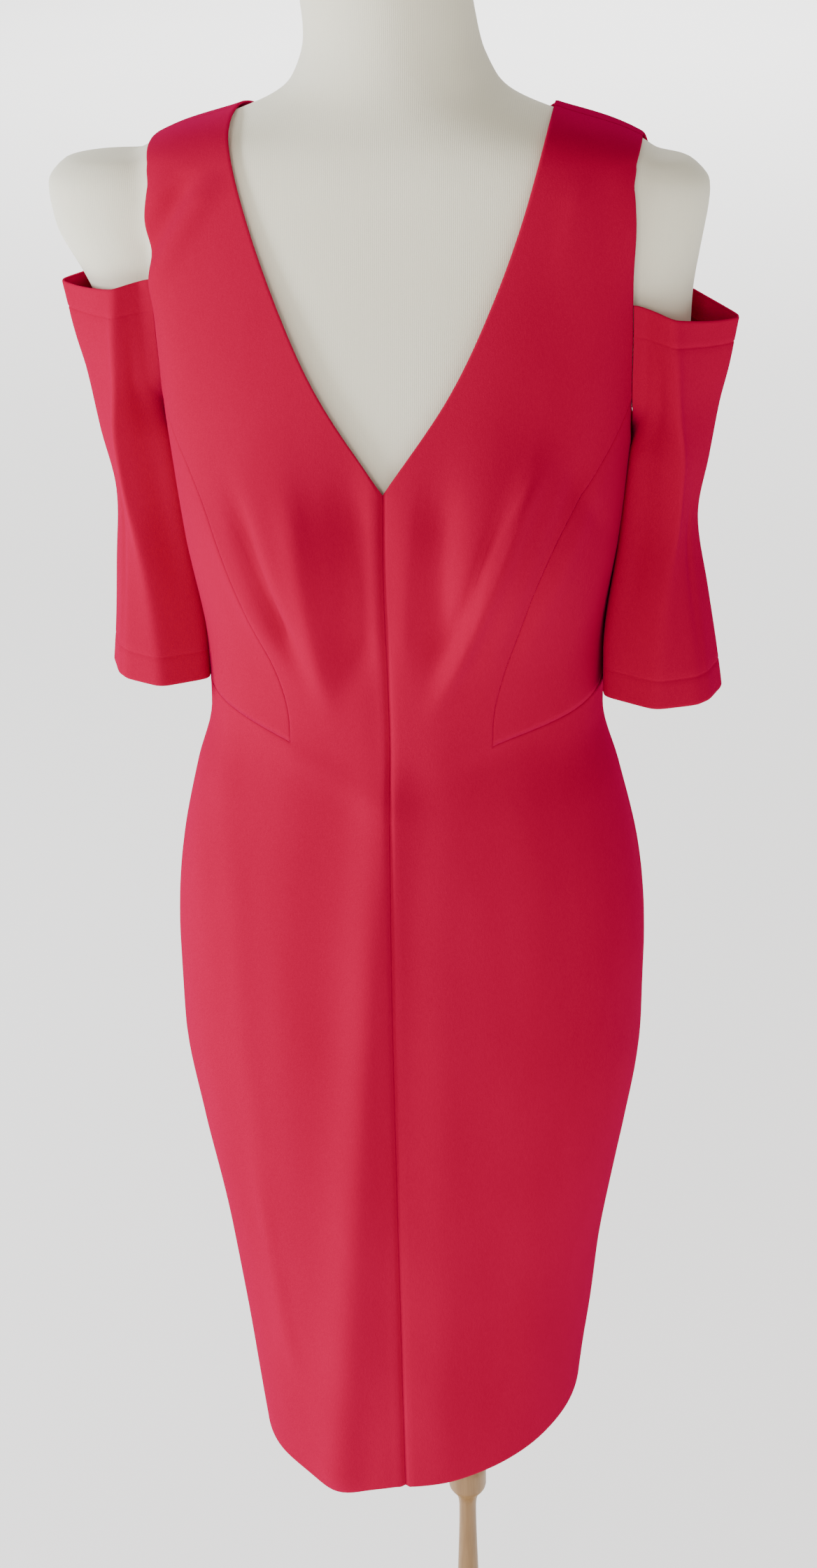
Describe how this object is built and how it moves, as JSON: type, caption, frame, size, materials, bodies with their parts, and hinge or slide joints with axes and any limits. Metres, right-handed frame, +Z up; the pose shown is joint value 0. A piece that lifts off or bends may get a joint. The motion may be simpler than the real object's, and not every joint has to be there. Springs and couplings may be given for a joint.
{
  "type": "cold shoulder midi dress on a dress form",
  "caption": "Fitted V-neck midi dress with open shoulders and short flared sleeves, worn by a limbless dress form on a turned wooden post and round base.",
  "frame": {"origin": "on the floor, under the middle of the whole part's box", "axes": "+Z up; the dress faces -Y, and the wearer's left is +X"},
  "size_m": [0.4294, 0.3, 1.5],
  "materials": {
    "crepe": "matt stretch crepe",
    "cover": "cream jersey cover",
    "oak": "oiled"
  },
  "bodies": {
    "root": {"front_left": "crepe", "front_right": "crepe", "side_front_left": "crepe", "side_front_right": "crepe", "back_left": "crepe", "back_right": "crepe", "sleeve_left": "crepe", "sleeve_right": "crepe", "form_torso": "cover", "base_plate": "oak", "post": "oak", "base": "oak"}
  },
  "joints": []
}
